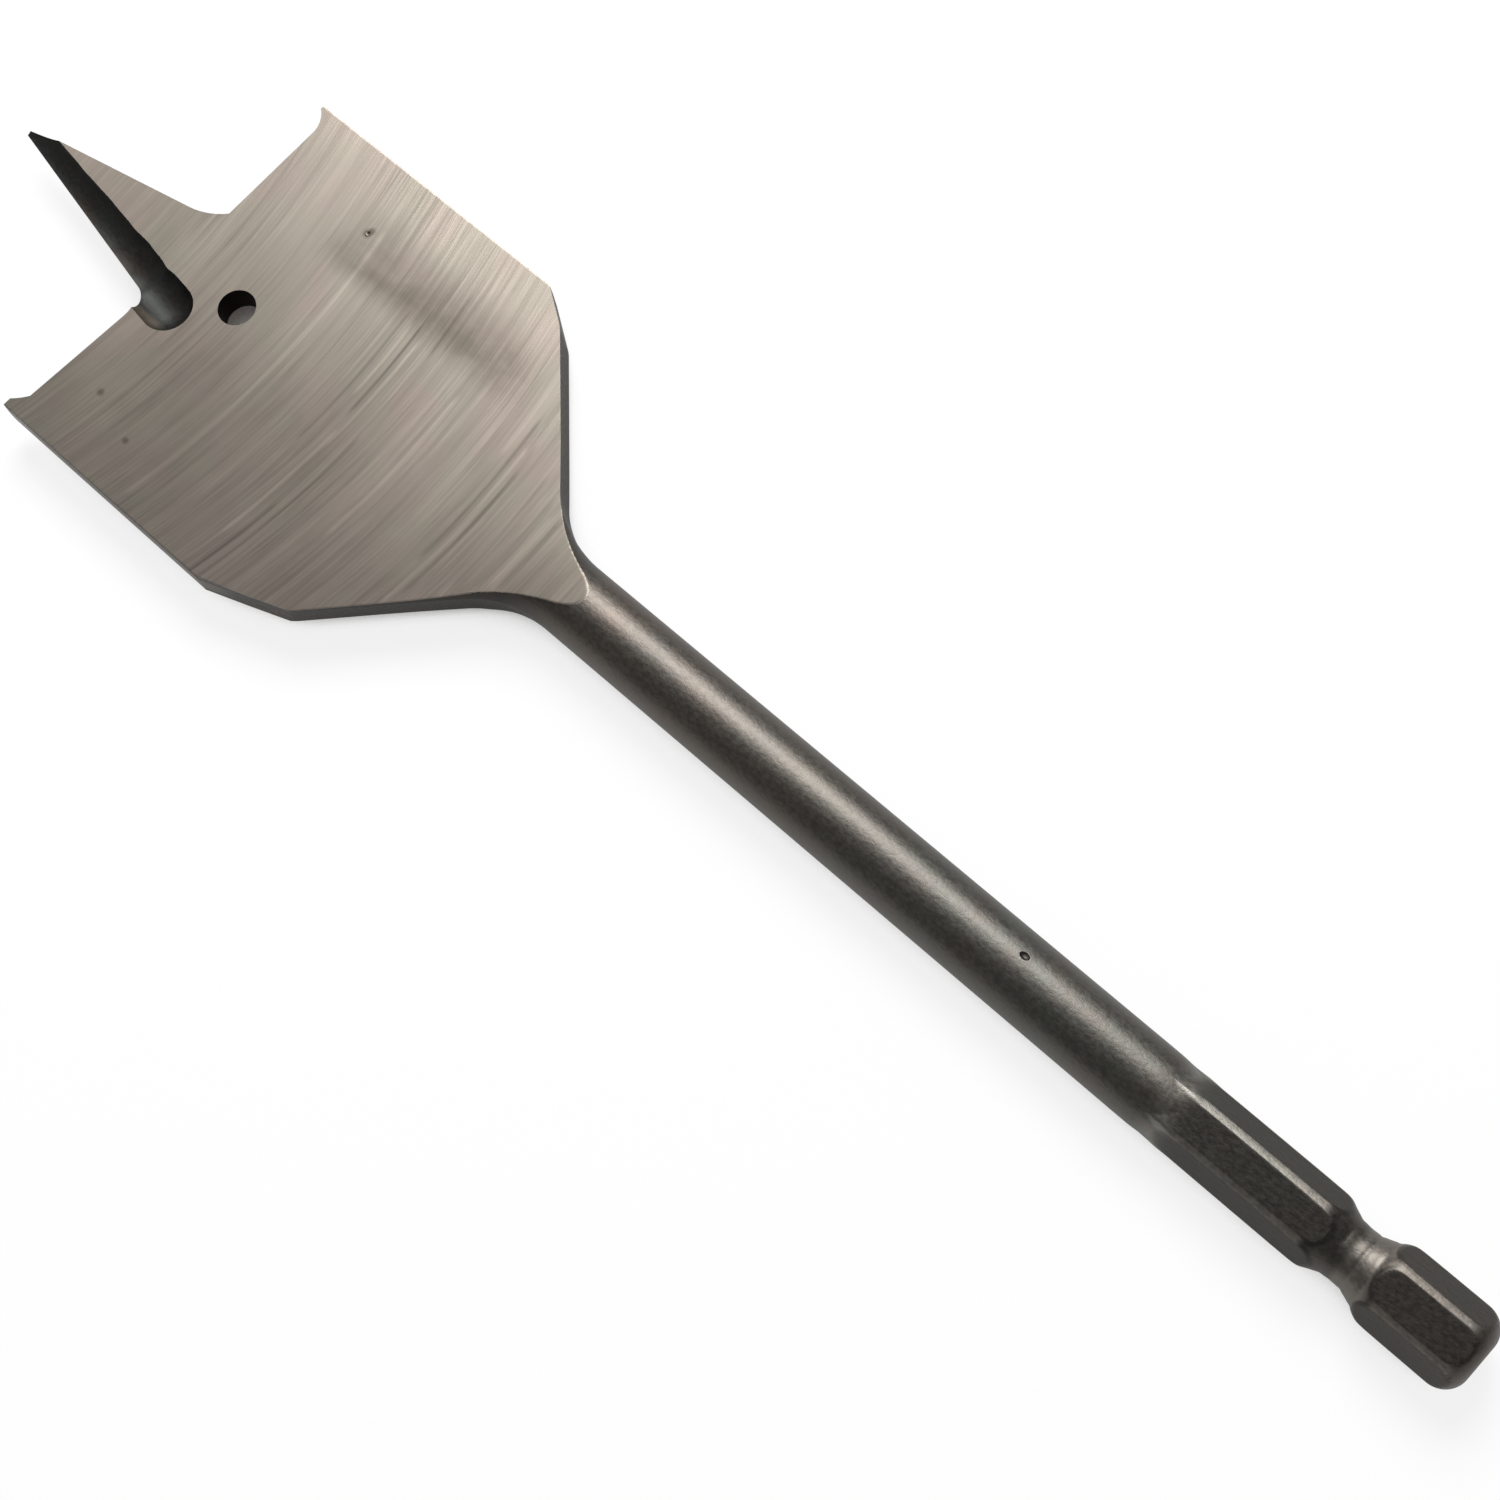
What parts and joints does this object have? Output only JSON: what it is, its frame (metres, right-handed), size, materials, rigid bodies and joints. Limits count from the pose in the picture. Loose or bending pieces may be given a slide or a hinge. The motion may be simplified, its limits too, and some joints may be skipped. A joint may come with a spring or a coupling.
{
  "type": "spade drill bit",
  "caption": "Flat wood-boring bit: a ground spade blade with a fluted centre point and edge spurs, on a round shank with a grooved hex drive end.",
  "frame": {"origin": "centre of the drive end face, on the axis of the shank", "axes": "+X along the axis from the drive end to the point, +Z square to the blade out of its front face, +Y toward the side whose lip cuts on the front face"},
  "size_m": [0.16, 0.0382, 0.0068],
  "materials": {
    "ground_steel": "blade ground bright across its width, shank left dark from heat treatment"
  },
  "bodies": {
    "root": {"spade_bit": "ground_steel"}
  },
  "joints": []
}
